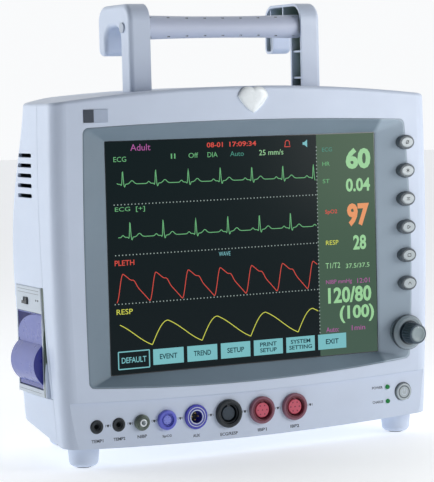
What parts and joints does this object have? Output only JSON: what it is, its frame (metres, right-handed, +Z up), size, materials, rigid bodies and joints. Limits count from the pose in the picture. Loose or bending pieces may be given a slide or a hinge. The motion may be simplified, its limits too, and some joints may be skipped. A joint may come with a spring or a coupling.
{
  "type": "patient monitor",
  "caption": "Bedside patient monitor with a recessed display, side keys, turning knob, lower socket panel, side chart recorder and a hooked carrying handle.",
  "frame": {"origin": "bottom centre of the whole object's box, on the surface that the feet stand on", "axes": "+X to the right of someone facing the display, +Y from the display towards the back, +Z up"},
  "size_m": [0.3518, 0.1682, 0.366],
  "materials": {
    "case_plastic": "fine texture",
    "frame_plastic": "fine texture",
    "display_glass": "anti-glare",
    "display_module": "smooth",
    "sheet_steel": "brushed",
    "shaft_steel": "polished",
    "circuit_board": "solder mask",
    "dark_ring": "smooth",
    "key_cap": "satin",
    "knob_plastic": "fine texture",
    "recorder_violet": "translucent",
    "recorder_white": "smooth",
    "strip_dark": "smooth",
    "black_plastic": "smooth",
    "socket_blue": "smooth",
    "socket_violet": "smooth",
    "socket_red": "smooth",
    "fitting_metal": "turned",
    "insulator": "smooth",
    "lamp_plastic": "frosted",
    "led_green": "smooth",
    "badge_grey": "smooth",
    "foot_rubber": "matt",
    "platen_rubber": "matt",
    "chart_paper": "smooth",
    "battery_case": "smooth",
    "screw_steel": "plated",
    "earth_brass": "turned",
    "grip_plastic": "fine texture"
  },
  "bodies": {
    "monitor": {"ac_inlet": "black_plastic", "arm_screws": "screw_steel", "aux_socket": "socket_blue", "badge_plate": "badge_grey", "battery_pack": "battery_case", "case_screws": "screw_steel", "contact_blocks": "insulator", "earth_stud": "earth_brass", "ecg_socket": "black_plastic", "encoder_body": "black_plastic", "fan_frame": "black_plastic", "feet": "case_plastic", "foot_pads": "foot_rubber", "front_bezel": "case_plastic", "grip_front_shell": "grip_plastic", "grip_rear_shell": "grip_plastic", "grip_tube": "shaft_steel", "handle_arm_left": "case_plastic", "handle_arm_right": "case_plastic", "hose_fitting": "fitting_metal", "ibp_sockets": "socket_red", "key_surrounds": "dark_ring", "keypad_board": "circuit_board", "knob_ring": "knob_plastic", "lamp_lens": "lamp_plastic", "lcd_bracket": "sheet_steel", "lcd_panel": "display_module", "main_board": "circuit_board", "network_port": "black_plastic", "nibp_pump": "black_plastic", "parameter_board": "circuit_board", "power_supply": "sheet_steel", "print_head": "black_plastic", "rear_case": "case_plastic", "rear_panel": "sheet_steel", "recorder_frame": "recorder_white", "recorder_tray": "black_plastic", "screen_frame": "frame_plastic", "screen_glass": "display_glass", "side_strip": "strip_dark", "speaker": "black_plastic", "spo2_socket": "socket_violet", "status_leds": "led_green", "temp_sockets": "black_plastic"},
    "power_button": {"power_button": "key_cap"},
    "knob_push": {"encoder_plunger": "black_plastic"},
    "knob": {"knob": "knob_plastic", "encoder_shaft": "shaft_steel"},
    "recorder_door": {"recorder_door": "recorder_violet"},
    "platen_roller": {"platen_roller": "platen_rubber"},
    "paper_roll": {"paper_roll": "chart_paper"},
    "recorder_latch": {"recorder_latch": "black_plastic"},
    "battery_door": {"battery_door": "case_plastic"},
    "fan_rotor": {"fan_rotor": "black_plastic"},
    "soft_key_1": {"soft_key_1": "key_cap"},
    "soft_key_2": {"soft_key_2": "key_cap"},
    "soft_key_3": {"soft_key_3": "key_cap"},
    "soft_key_4": {"soft_key_4": "key_cap"},
    "soft_key_5": {"soft_key_5": "key_cap"},
    "soft_key_6": {"soft_key_6": "key_cap"}
  },
  "joints": [
    {"name": "key_1_press", "type": "slide", "parent": "monitor", "child": "soft_key_1", "axis": [0, 1, 0], "range_m": [0, 0.0012], "stiffness_N_per_m": 800},
    {"name": "key_2_press", "type": "slide", "parent": "monitor", "child": "soft_key_2", "axis": [0, 1, 0], "range_m": [0, 0.0012], "stiffness_N_per_m": 800},
    {"name": "key_3_press", "type": "slide", "parent": "monitor", "child": "soft_key_3", "axis": [0, 1, 0], "range_m": [0, 0.0012], "stiffness_N_per_m": 800},
    {"name": "key_4_press", "type": "slide", "parent": "monitor", "child": "soft_key_4", "axis": [0, 1, 0], "range_m": [0, 0.0012], "stiffness_N_per_m": 800},
    {"name": "key_5_press", "type": "slide", "parent": "monitor", "child": "soft_key_5", "axis": [0, 1, 0], "range_m": [0, 0.0012], "stiffness_N_per_m": 800},
    {"name": "key_6_press", "type": "slide", "parent": "monitor", "child": "soft_key_6", "axis": [0, 1, 0], "range_m": [0, 0.0012], "stiffness_N_per_m": 800},
    {"name": "power_press", "type": "slide", "parent": "monitor", "child": "power_button", "axis": [0, 1, 0], "range_m": [0, 0.0015], "stiffness_N_per_m": 700},
    {"name": "knob_press", "type": "slide", "parent": "monitor", "child": "knob_push", "axis": [0, 1, 0], "range_m": [0, 0.0005], "stiffness_N_per_m": 5000},
    {"name": "knob_turn", "type": "hinge", "parent": "knob_push", "child": "knob", "pos_m": [0.14964, -0.07559, 0.087], "axis": [0, 1, 0], "continuous": true},
    {"name": "recorder_door_swing", "type": "hinge", "parent": "monitor", "child": "recorder_door", "pos_m": [-0.16676, -0.00759, 0.063], "axis": [0, -1, 0], "range_deg": [0, 75]},
    {"name": "platen_turn", "type": "hinge", "parent": "monitor", "child": "platen_roller", "pos_m": [-0.15636, -0.00759, 0.112], "axis": [0, 1, 0], "continuous": true},
    {"name": "paper_turn", "type": "hinge", "parent": "monitor", "child": "paper_roll", "pos_m": [-0.15586, -0.00759, 0.0814], "axis": [0, 1, 0], "continuous": true},
    {"name": "latch_slide", "type": "slide", "parent": "monitor", "child": "recorder_latch", "axis": [0, 1, 0], "range_m": [0, 0.003], "stiffness_N_per_m": 300},
    {"name": "battery_door_swing", "type": "hinge", "parent": "monitor", "child": "battery_door", "pos_m": [0.17097, -0.01059, 0.057], "axis": [0, 1, 0], "range_deg": [0, 80]},
    {"name": "fan_spin", "type": "hinge", "parent": "monitor", "child": "fan_rotor", "pos_m": [0.08364, 0.06441, 0.071], "axis": [0, 1, 0], "continuous": true}
  ],
  "couplings": [
    {"joint": "platen_turn", "follows": "paper_turn", "ratio": 3.06}
  ]
}
